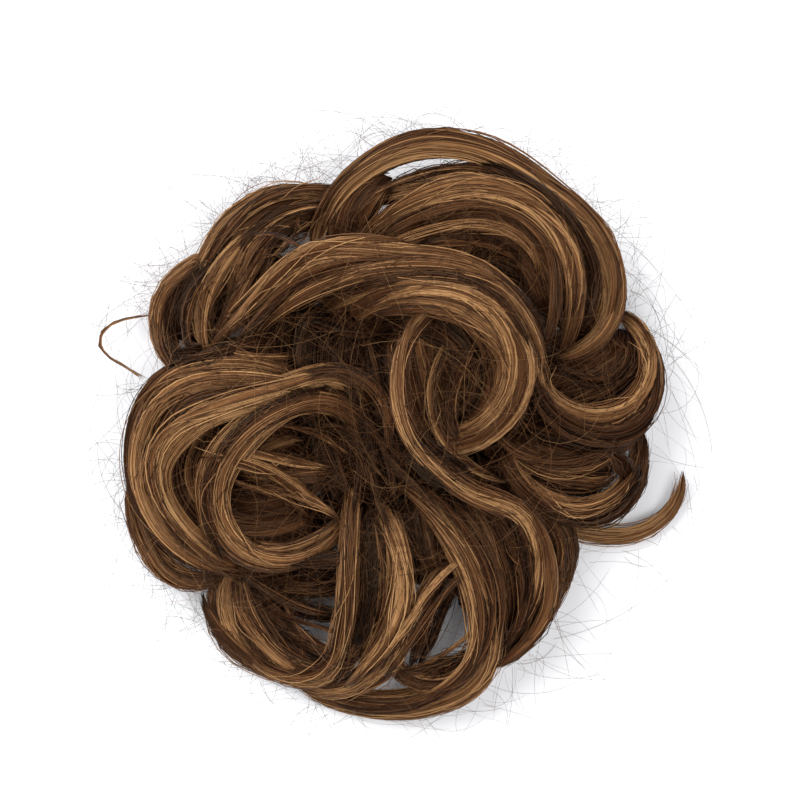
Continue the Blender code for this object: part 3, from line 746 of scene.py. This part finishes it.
def lock_body(lock, comb, strip, strips):
    """A lock's closed, ridged body, with its own strip of the map, as a temporary mesh."""
    line = lock_line(lock.route, BODY_STEP)
    sides = max(LEAST_SIDES, round(girth(lock) / BODY_PITCH))
    rows = len(line.along) - 1
    shape = bmesh.new()
    bmesh.ops.create_grid(shape, x_segments=sides, y_segments=rows, size=0.5)
    flat = np.array([vert.co for vert in shape.verts])
    theta = TAU * (flat[:, 0] + 0.5)
    along = flat[:, 1] + 0.5
    uv_layer = shape.loops.layers.uv.new(STRAND_MAP)
    for face in shape.faces:
        for loop in face.loops:
            across = STRIP_EDGE + (1 - 2 * STRIP_EDGE) * (loop.vert.co.x + 0.5)
            lengthwise = (loop.vert.co.y + 0.5) * line.length / LONGEST_LOCK
            loop[uv_layer].uv = ((strip + across) / strips, lengthwise)
    points = on_lock(lock, line, comb, theta, along, -BODY_SINK)[0]
    centre = read_at(line, line.centre, along)
    end = np.minimum(along, 1 - along) * line.length / (lock.thick / 2)
    rounded = np.sqrt(1 - (1 - np.minimum(end, 1)) ** 2)
    points = kept_clear(centre + (points - centre) * rounded[:, None], 0.0)
    # Painted shade and light: each body is darker than its strands, darker still in its grooves, down its
    # flanks and at its ends, and lighter on top.
    crown = ridge_crown(comb, theta, along)
    ridge_tones = comb.tones[ridge_number(comb, theta, along)]
    tones = lock.tone - BODY_PAINTED_SHADE + ridge_tones * crown - GROOVE_PAINTED_SHADE * (1 - crown)
    tones = tones + painted_round_shading(theta, along)
    tone_layer = shape.verts.layers.float.new("tone")
    for vert, point, tone in zip(shape.verts, points, tones):
        vert.co = point * MM
        vert[tone_layer] = tone
    bmesh.ops.remove_doubles(shape, verts=shape.verts, dist=MERGE_WITHIN * MM)
    bmesh.ops.recalc_face_normals(shape, faces=shape.faces)
    mesh = bpy.data.meshes.new(lock.name)
    shape.to_mesh(mesh)
    shape.free()
    return mesh


def add_piece(name, mesh, material, slot, *replaced):
    """A finished piece, which rides on the one body."""
    mesh.materials.clear()
    mesh.materials.append(material)
    mesh.shade_smooth()
    piece = bpy.data.objects.new(name, mesh)
    bpy.context.scene.collection.objects.link(piece)
    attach(piece, "root")
    if replaced:
        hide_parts(*replaced)


def build_bodies(name, locks, combs, material, slot, *replaced):
    """One piece of several ridged locks."""
    shape = bmesh.new()
    for strip, (lock, comb) in enumerate(zip(locks, combs)):
        mesh = lock_body(lock, comb, strip, len(locks))
        shape.from_mesh(mesh)
        bpy.data.meshes.remove(mesh)
    joined = bpy.data.meshes.new(name)
    shape.to_mesh(joined)
    shape.free()
    add_piece(name, joined, material, slot, *replaced)


def combed_strands(lock, comb, rng):
    """Fine strands that follow a lock's ridges, a few of them straying."""
    line = lock_line(lock.route, STRAND_STEP)
    density = STRANDS_PER_MM if lock.width < WIDE_LOCK else WIDE_STRANDS_PER_MM
    count = max(LEAST_STRANDS, round(girth(lock) * density))
    begin = rng.uniform(0.0, END_TRIM, (count, 1))
    finish = 1 - rng.uniform(0.0, END_TRIM, (count, 1))
    late = rng.random((count, 1)) < SHORT_SHARE
    begin = np.where(late, rng.uniform(*LATE_START, (count, 1)), begin)
    early = rng.random((count, 1)) < SHORT_SHARE
    finish = np.where(early, rng.uniform(*EARLY_FINISH, (count, 1)), finish)
    t = np.linspace(0.0, 1.0, len(line.along))
    along = begin + (finish - begin) * t
    upper = rng.random((count, 1)) < UPPER_SHARE
    theta = np.where(upper, rng.uniform(0, math.pi, (count, 1)), rng.uniform(0, TAU, (count, 1)))
    loose = rng.random((count, 1)) < LOOSE_SHARE
    sway = rng.normal(0, 1, (count, 1)) * np.where(loose, LOOSE_WANDER, WANDER)
    beats = rng.uniform(*WANDER_BEATS, (count, 1))
    sway = sway * np.sin(TAU * (beats * along + rng.random((count, 1))))
    mean_radius = (lock.width + lock.thick) / 4
    turning = theta - comb.twist * (along - 0.5) + sway / mean_radius
    flare = np.abs(2 * t - 1) ** FLARE_POWER * rng.exponential(FLARE_LIFT, (count, 1))
    lift = rng.uniform(*STRAND_LIFT, (count, 1)) + flare
    lift = lift + np.where(loose, rng.uniform(*LOOSE_LIFT, (count, 1)), 0) * np.sin(math.pi * t) ** 2
    points, outward = on_lock(lock, line, comb, turning, along, lift)
    widening = np.minimum(1, STRAND_TIP + STRAND_WIDENING * np.minimum(t, 1 - t))
    radius = rng.uniform(*STRAND_SIZES, (count, 1)) * STRAND_RADIUS * widening
    tone = lock.tone + ridge_tone(comb, theta, 0.5) + rng.normal(0, STRAND_TONES, (count, 1))
    shares = [1 - 2 * ODD_SHARE, ODD_SHARE, ODD_SHARE]
    odd = rng.choice([0.0, ODD_LIGHTER, -ODD_DARKER], (count, 1), p=shares)
    shifts_and_painted_shading = odd + GLOW_TONES * np.sin(TAU * (rng.uniform(*GLOW_BEATS) * along + rng.random()))
    # Painted light and shade: strands lighter on the lock's top, darker down its flanks and near its
    # ends.
    shifts_and_painted_shading = shifts_and_painted_shading + painted_round_shading(turning, along)
    start = rng.random((count, 1)) * (1 - line.length / LONGEST_LOCK)
    v = start + along * line.length / LONGEST_LOCK
    return Strands(kept_clear(points, STRAND_RADIUS), outward, radius, tone + shifts_and_painted_shading, v)


def tube_arrays(strands, base):
    """Corners, faces and map places of the strands as thin three-sided tubes."""
    count, rings = strands.points.shape[:2]
    tangent = unit(np.gradient(strands.points, axis=1))
    across = unit(np.cross(tangent, strands.outward))
    over = np.cross(across, tangent)
    angles = TAU * np.arange(TUBE_SIDES) / TUBE_SIDES + math.pi / 2
    ring = (
        np.cos(angles)[:, None] * across[:, :, None] + np.sin(angles)[:, None] * over[:, :, None]
    )
    corners = strands.points[:, :, None] + strands.radius[:, :, None, None] * ring
    index = base + np.arange(count * rings * TUBE_SIDES).reshape(count, rings, TUBE_SIDES)
    following = np.roll(index, -1, axis=2)
    walls = np.stack([index[:, :-1], index[:, 1:], following[:, 1:], following[:, :-1]], axis=-1)
    caps = np.concatenate([index[:, 0], index[:, -1, ::-1]])
    low = np.clip(strands.tone, MAP_EDGE, 1 - MAP_EDGE) - TONE_WIDTH
    high = low + 2 * TONE_WIDTH
    v = np.clip(strands.v, 0.0, 1.0)
    left = np.stack([low, v], axis=-1)
    right = np.stack([high, v], axis=-1)
    wall_uv = np.stack([left[:, :-1], left[:, 1:], right[:, 1:], right[:, :-1]], axis=2)
    wall_uv = np.repeat(wall_uv[:, :, None], TUBE_SIDES, axis=2)
    cap_uv = np.concatenate([
        np.stack([left[:, end], right[:, end], right[:, end] + (0.0, TONE_WIDTH)], axis=1)
        for end in (0, -1)
    ])
    corners = corners.reshape(-1, 3)
    walls = walls.reshape(-1, 4)
    return corners, walls, caps, wall_uv.reshape(-1, 2), cap_uv.reshape(-1, 2)


def build_strands(name, bundles, material, slot):
    """One piece of many thin tubes."""
    corners, walls, caps, wall_uvs, cap_uvs = [], [], [], [], []
    base = 0
    for strands in bundles:
        points, wall, cap, wall_uv, cap_uv = tube_arrays(strands, base)
        base += len(points)
        corners.append(points * MM)
        walls.append(wall)
        caps.append(cap)
        wall_uvs.append(wall_uv)
        cap_uvs.append(cap_uv)
    faces = np.concatenate(walls).tolist() + np.concatenate(caps).tolist()
    mesh = bpy.data.meshes.new(name)
    mesh.from_pydata(np.concatenate(corners), [], faces)
    layer = mesh.uv_layers.new(name=STRAND_MAP)
    layer.data.foreach_set("uv", np.concatenate(wall_uvs + cap_uvs).astype(np.float32).ravel())
    add_piece(name, mesh, material, slot)


def surface_points(lock, comb):
    """Close points all over a lock's combed surface."""
    line = lock_line(lock.route, CELL / 2)
    sides = max(LEAST_SIDES, round(2 * girth(lock) / CELL))
    theta, along = np.meshgrid(TAU * np.arange(sides) / sides, line.along)
    return on_lock(lock, line, comb, theta, along, 0.0)[0].reshape(-1, 3)


def height_map(locks, combs):
    """The highest hair in each cell seen from above, in millimetres, and the map's corner."""
    points = np.concatenate([surface_points(lock, comb) for lock, comb in zip(locks, combs)])
    corner = points[:, :2].min(axis=0) - CELL * MAP_MARGIN
    cells = np.ceil((points[:, :2].max(axis=0) - corner) / CELL).astype(int) + MAP_MARGIN
    heights = np.zeros(cells)
    where = ((points[:, :2] - corner) / CELL).astype(int)
    np.maximum.at(heights, (where[:, 0], where[:, 1]), points[:, 2])
    return heights, corner


def height_under(heights, corner, places):
    cell = ((places - corner) / CELL).astype(int)
    cell = np.clip(cell, 0, np.array(heights.shape) - 1)
    return heights[cell[..., 0], cell[..., 1]]


def spanned(heights, rounds):
    """Heights along lines, last axis, with each dip between peaks bridged."""
    for _ in range(rounds):
        padded = np.pad(heights, ((0, 0), (1, 1)), mode="edge")
        heights = np.maximum(heights, (padded[:, :-2] + padded[:, 2:]) / 2)
    return heights


def evened(heights, rounds):
    """Heights along lines, last axis, with their steps smoothed out."""
    for _ in range(rounds):
        padded = np.pad(heights, ((0, 0), (1, 1)), mode="edge")
        heights = (padded[:, :-2] + 2 * heights + padded[:, 2:]) / 4
    return heights


def draped_lock(veil, heights, corner):
    """The lock of a veil, laid over the hair below it, with both ends tucked in."""
    flat = lock_line([(x, y, 0.0) for x, y in veil.route], VEIL_STEP).centre
    below = height_under(heights, corner, flat[:, :2])[None]
    z = evened(spanned(below, VEIL_ROUNDS), 1)[0] + veil.lift
    z[[0, -1]] -= VEIL_TUCK
    z[[1, -2]] -= VEIL_TUCK * VEIL_EASE
    route = np.column_stack([flat[:, :2], z])
    return Lock("veil", veil.width, veil.width * VEIL_FLATNESS, VEIL_TIP, veil.tone, route)


def hair_lengths(lengths, count, rng):
    return rng.gamma(lengths.shape, lengths.scale, (count, 1)).clip(lengths.shortest, lengths.longest)


def curved_places(start, length, angle):
    """Places (x, y) along hairs that set off from start and head where their angles say."""
    step = length / FINE_STEPS
    x = start[:, :1] + np.cumsum(step * np.cos(angle), axis=1)
    y = start[:, 1:] + np.cumsum(step * np.sin(angle), axis=1)
    return np.stack([x, y], axis=-1)


def frizz(heights, corner, rng):
    """Fine stray hairs that lie across the locks in loose curves, with painted shade on those that lie
    deep in hollows.
    """
    around = heights
    for _ in range(FRIZZ_BLUR):
        around = (around + sum(np.roll(around, move, axis) for move in (-1, 1) for axis in (0, 1))) / 5
    hollow = 1 / (1 + np.exp((heights - around) / FRIZZ_HOLLOW))
    likely = np.where(heights > FRIZZ_LOWEST, hollow, 0.0)
    cells = rng.choice(likely.size, FRIZZ_COUNT, p=(likely / likely.sum()).ravel())
    cell = np.column_stack(np.unravel_index(cells, likely.shape))
    start = corner + CELL * (cell + rng.random((FRIZZ_COUNT, 2)))
    heading = rng.uniform(0, TAU, (FRIZZ_COUNT, 1))
    length = hair_lengths(FRIZZ_LENGTHS, FRIZZ_COUNT, rng)
    bend = rng.normal(0, FRIZZ_BEND, (FRIZZ_COUNT, 1)) * length / FRIZZ_BEND_LENGTH
    t = np.linspace(0.0, 1.0, FINE_STEPS + 1)
    wobble = FRIZZ_WOBBLE * rng.normal(0, 1, (FRIZZ_COUNT, 1)) * np.sin(TAU * t)
    places = curved_places(start, length, heading + bend * t + wobble)
    z = height_under(heights, corner, places)
    proud = (z - height_under(around, corner, places)).mean(axis=1)
    on_hair = z > LEAST_HAIR
    held = on_hair[:, [0, -1]].all(axis=1) & (on_hair.mean(axis=1) > FRIZZ_HELD) & (proud < FRIZZ_PROUD)
    z = evened(spanned(z, FRIZZ_SPAN_ROUNDS), FRIZZ_EVEN_ROUNDS)
    z = z + rng.uniform(0.0, FRIZZ_LIFT, (FRIZZ_COUNT, 1))
    # Painted shade: frizz lying below the hair around it is darker.
    tone = FRIZZ_TONE - FRIZZ_PAINTED_SHADE * np.clip(-proud / FRIZZ_DEPTH, 0, 1)
    return fine_strands(np.dstack([places, z])[held], rng, FRIZZ_RADIUS, tone[held, None])


def flyaways(heights, corner, rng):
    """Fine hairs that stand off the outline all round."""
    filled = np.argwhere(heights > LEAST_HAIR)
    places = corner + CELL * (filled + 0.5)
    middle = places.mean(axis=0)
    away = places - middle
    bearing = np.arctan2(away[:, 1], away[:, 0])
    distance = np.linalg.norm(away, axis=1)
    sector = ((bearing + math.pi) / TAU * RIM_SECTORS).astype(int) % RIM_SECTORS
    rim = np.zeros(RIM_SECTORS)
    np.maximum.at(rim, sector, distance)
    edge = distance > rim[sector] - RIM_DEPTH
    edge_places = places[edge]
    chance = 1 + FLYAWAY_LEAN * np.cos(bearing[edge] - FLYAWAY_SIDE)
    pick = rng.choice(len(edge_places), FLYAWAY_COUNT, p=chance / chance.sum())
    start = edge_places[pick] + rng.uniform(-CELL, CELL, (FLYAWAY_COUNT, 2))
    outward = np.arctan2(start[:, 1] - middle[1], start[:, 0] - middle[0])[:, None]
    either_way = rng.choice([-1, 1], (FLYAWAY_COUNT, 1))
    heading = outward + either_way * rng.uniform(*FLYAWAY_TURN, (FLYAWAY_COUNT, 1))
    length = hair_lengths(FLYAWAY_LENGTHS, FLYAWAY_COUNT, rng)
    t = np.linspace(0.0, 1.0, FINE_STEPS + 1)
    angle = heading + rng.normal(0, FLYAWAY_BEND, (FLYAWAY_COUNT, 1)) * t
    share = rng.uniform(*FLYAWAY_HEIGHT, (FLYAWAY_COUNT, 1))
    height = height_under(heights, corner, start)[:, None] * share
    z = height + rng.normal(FLYAWAY_RISE, FLYAWAY_RISE_SPREAD, (FLYAWAY_COUNT, 1)) * t
    points = np.dstack([curved_places(start, length, angle), z])
    low = np.array(cad_box[0])[:2] / MM - FLYAWAY_REACH
    high = np.array(cad_box[1])[:2] / MM + FLYAWAY_REACH
    kept = ((points[..., :2] > low) & (points[..., :2] < high)).all(axis=(1, 2))
    return fine_strands(points[kept], rng, FLYAWAY_RADIUS, FLYAWAY_TONE)


def fine_strands(points, rng, thickest, tone):
    """Single hairs along rows of points, thinner towards their far end."""
    count, rings = points.shape[:2]
    t = np.linspace(0.0, 1.0, rings)
    outward = np.tile((0.0, 0.0, 1.0), (count, rings, 1))
    widening = np.minimum(1, FINE_TIP + FINE_WIDENING * (1 - t))
    radius = thickest * rng.uniform(*FINE_SIZES, (count, 1)) * widening
    tones = tone + rng.normal(0, FINE_TONES, (count, 1)) + 0 * t
    v = rng.uniform(0, 1 - FINE_SPAN, (count, 1)) + FINE_SPAN * t
    return Strands(kept_clear(points, thickest), outward, radius, tones, v)


def new_material(name):
    material = bpy.data.materials.new(name)
    material.use_nodes = True
    nodes = material.node_tree.nodes
    return material, nodes, material.node_tree.links, nodes["Principled BSDF"]


def maths(nodes, links, operation, first, second):
    """A Math node whose inputs are sockets or numbers."""
    node = nodes.new("ShaderNodeMath")
    node.operation = operation
    for socket, value in zip(node.inputs, (first, second)):
        if isinstance(value, (int, float)):
            socket.default_value = value
        else:
            links.new(value, socket)
    return node.outputs["Value"]


def stretched_noise(nodes, links, source, scale, detail):
    """Noise drawn out along a lock or strand: a scale across and a scale along."""
    mapping = nodes.new("ShaderNodeMapping")
    mapping.inputs["Scale"].default_value = scale
    links.new(source, mapping.inputs["Vector"])
    noise = nodes.new("ShaderNodeTexNoise")
    noise.inputs["Scale"].default_value = 1.0
    noise.inputs["Detail"].default_value = detail
    links.new(mapping.outputs["Vector"], noise.inputs["Vector"])
    return noise.outputs["Fac"]


def hair_ramp(nodes, links, tone):
    ramp = nodes.new("ShaderNodeValToRGB")
    stops = ramp.color_ramp.elements
    while len(stops) < len(HAIR_TONES):
        stops.new(0.5)
    for stop, (place, colour) in zip(stops, HAIR_TONES):
        stop.position = place
        stop.color = (*colour, 1.0)
    links.new(tone, ramp.inputs["Fac"])
    return ramp.outputs["Color"]


def tone_shift(nodes, links, noise, amount):
    """A noise as a shift of tone, lighter and darker by half the amount at most."""
    return maths(nodes, links, "MULTIPLY", maths(nodes, links, "SUBTRACT", noise, 0.5), amount)


def set_roughness(nodes, links, value, roughness, shader):
    """The shader's roughness, from one number to the other as a noise goes through its usual range."""
    node = nodes.new("ShaderNodeMapRange")
    node.inputs["From Min"].default_value, node.inputs["From Max"].default_value = NOISE_RANGE
    node.inputs["To Min"].default_value, node.inputs["To Max"].default_value = roughness
    links.new(value, node.inputs["Value"])
    links.new(node.outputs["Result"], shader.inputs["Roughness"])


def set_bump(nodes, links, height, bump, shader):
    """The shader's bump, with its strength and its height in metres."""
    node = nodes.new("ShaderNodeBump")
    node.inputs["Strength"].default_value, node.inputs["Distance"].default_value = bump
    links.new(height, node.inputs["Height"])
    links.new(node.outputs["Normal"], shader.inputs["Normal"])


def hair_map(nodes):
    uv = nodes.new("ShaderNodeUVMap")
    uv.uv_map = STRAND_MAP
    return uv.outputs["UV"]


def strand_material():
    """Fine glossy strands, coloured by the tone and the place along the strand that their map holds."""
    material, nodes, links, shader = new_material("hair_strands")
    shader.inputs["Specular IOR Level"].default_value = STRAND_SPECULAR
    shader.inputs["Specular Tint"].default_value = STRAND_SPECULAR_TINT
    uv = hair_map(nodes)
    parts = nodes.new("ShaderNodeSeparateXYZ")
    links.new(uv, parts.inputs["Vector"])
    streak = stretched_noise(nodes, links, uv, STRAND_STREAKS, 1.0)
    shift = tone_shift(nodes, links, streak, STRAND_SHIFT)
    tone = maths(nodes, links, "ADD", parts.outputs["X"], shift)
    links.new(hair_ramp(nodes, links, tone), shader.inputs["Base Color"])
    sheen = stretched_noise(nodes, links, uv, STRAND_SHEEN, 1.0)
    set_roughness(nodes, links, sheen, STRAND_ROUGHNESS, shader)
    return material


def body_material():
    """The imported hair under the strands: fine streaks that run along each lock."""
    material, nodes, links, shader = new_material("packed_hair")
    shader.inputs["Specular IOR Level"].default_value = 0.0
    uv = hair_map(nodes)
    # The tone attribute holds each body's tone, its painted shade and light included.
    attribute = nodes.new("ShaderNodeAttribute")
    attribute.attribute_name = "tone"
    fine = stretched_noise(nodes, links, uv, FINE_STREAKS, 2.0)
    broad = stretched_noise(nodes, links, uv, BROAD_STREAKS, 1.0)
    fine_shift = tone_shift(nodes, links, fine, FINE_SHIFT)
    broad_shift = tone_shift(nodes, links, broad, BROAD_SHIFT)
    shift = maths(nodes, links, "ADD", fine_shift, broad_shift)
    tone = maths(nodes, links, "ADD", attribute.outputs["Fac"], shift)
    links.new(hair_ramp(nodes, links, tone), shader.inputs["Base Color"])
    set_roughness(nodes, links, fine, BODY_ROUGHNESS, shader)
    set_bump(nodes, links, fine, BODY_BUMP, shader)
    return material


def band_material():
    """Dark woven elastic: ribs that cross the ring, with threads wound along it."""
    material, nodes, links, shader = new_material("woven_elastic")
    place = nodes.new("ShaderNodeTexCoord").outputs["Object"]
    centred = nodes.new("ShaderNodeMapping")
    centred.inputs["Location"].default_value = (-BAND_X * MM, -BAND_Y * MM, 0.0)
    links.new(place, centred.inputs["Vector"])
    parts = nodes.new("ShaderNodeSeparateXYZ")
    links.new(centred.outputs["Vector"], parts.inputs["Vector"])
    angle = maths(nodes, links, "ARCTAN2", parts.outputs["Y"], parts.outputs["X"])
    round_ring = maths(nodes, links, "MULTIPLY", angle, BAND_RIBS)
    up_ring = maths(nodes, links, "MULTIPLY", parts.outputs["Z"], BAND_THREADS)
    ribs = maths(nodes, links, "SINE", round_ring, 0.0)
    threads = maths(nodes, links, "SINE", up_ring, 0.0)
    weave = maths(nodes, links, "MULTIPLY", ribs, threads)
    fuzz = nodes.new("ShaderNodeTexNoise")
    fuzz.inputs["Scale"].default_value = BAND_FUZZ
    links.new(place, fuzz.inputs["Vector"])
    height = maths(nodes, links, "ADD", weave, fuzz.outputs["Fac"])
    set_roughness(nodes, links, height, BAND_ROUGHNESS, shader)
    ramp = nodes.new("ShaderNodeValToRGB")
    dark, light = ramp.color_ramp.elements
    dark.color = BAND_DARK
    light.color = BAND_LIGHT
    links.new(height, ramp.inputs["Fac"])
    links.new(ramp.outputs["Color"], shader.inputs["Base Color"])
    set_bump(nodes, links, height, BAND_BUMP, shader)
    return material


def build_hair():
    """Every tuft's ridged locks and strands, then the stray hairs over them."""
    rng = np.random.default_rng(SEED)
    strand_finish = strand_material()
    body_finish = body_material()
    all_locks, all_combs = [], []
    for tuft in TUFTS:
        locks = (root_lock(tuft), *tuft.locks)
        combs = [comb_for(lock, rng) for lock in locks]
        build_bodies(tuft.name + "_locks", locks, combs, body_finish, tuft.slot, tuft.name)
        bundles = [combed_strands(lock, comb, rng) for lock, comb in zip(locks, combs)]
        build_strands(tuft.name + "_strands", bundles, strand_finish, tuft.slot)
        all_locks += locks
        all_combs += combs
    heights, corner = height_map(all_locks, all_combs)
    veils = [draped_lock(veil, heights, corner) for veil in VEILS]
    combs = [comb_for(lock, rng) for lock in veils]
    build_bodies("veil_locks", veils, combs, body_finish, "caramel_hair")
    bundles = [combed_strands(lock, comb, rng) for lock, comb in zip(veils, combs)]
    build_strands("veil_strands", bundles, strand_finish, "caramel_hair")
    heights, corner = height_map(all_locks + veils, all_combs + combs)
    build_strands("frizz", [frizz(heights, corner, rng)], strand_finish, "caramel_hair")
    build_strands("flyaways", [flyaways(heights, corner, rng)], strand_finish, "walnut_hair")


def dress_band():
    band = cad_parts["elastic_band"]
    band.data.materials.clear()
    band.data.materials.append(band_material())


def build_stage():
    """A plain pale floor, soft studio light and the camera straight above."""
    mesh = bpy.data.meshes.new("floor")
    shape = bmesh.new()
    bmesh.ops.create_grid(shape, x_segments=1, y_segments=1, size=FLOOR_HALF)
    shape.to_mesh(mesh)
    shape.free()
    material, _, _, shader = new_material("pale_floor")
    shader.inputs["Base Color"].default_value = FLOOR_COLOUR
    shader.inputs["Roughness"].default_value = FLOOR_ROUGHNESS
    mesh.materials.append(material)
    floor = bpy.data.objects.new("floor", mesh)
    bpy.context.scene.collection.objects.link(floor)

    world = bpy.data.worlds.new("studio")
    world.use_nodes = True
    background = world.node_tree.nodes["Background"]
    background.inputs["Color"].default_value = (1.0, 1.0, 1.0, 1.0)
    background.inputs["Strength"].default_value = WORLD_STRENGTH
    bpy.context.scene.world = world

    for lamp in LAMPS:
        light = bpy.data.lights.new(lamp.name, "AREA")
        light.size = lamp.size
        light.energy = lamp.power
        holder = bpy.data.objects.new(lamp.name, light)
        holder.location = lamp.place
        holder.rotation_euler = (-Vector(lamp.place)).to_track_quat("-Z", "Y").to_euler()
        bpy.context.scene.collection.objects.link(holder)

    bpy.context.scene.view_settings.view_transform = "Standard"
    data = bpy.data.cameras.new("camera")
    data.sensor_fit = "HORIZONTAL"
    data.angle = 2 * math.atan(PHOTO_SPAN / 2 / (CAMERA_Z - PHOTO_PLANE))
    camera = bpy.data.objects.new("camera", data)
    camera.location = (CAMERA_X, CAMERA_Y, CAMERA_Z)
    bpy.context.scene.collection.objects.link(camera)
    bpy.context.scene.camera = camera


dress_band()
build_hair()
build_stage()
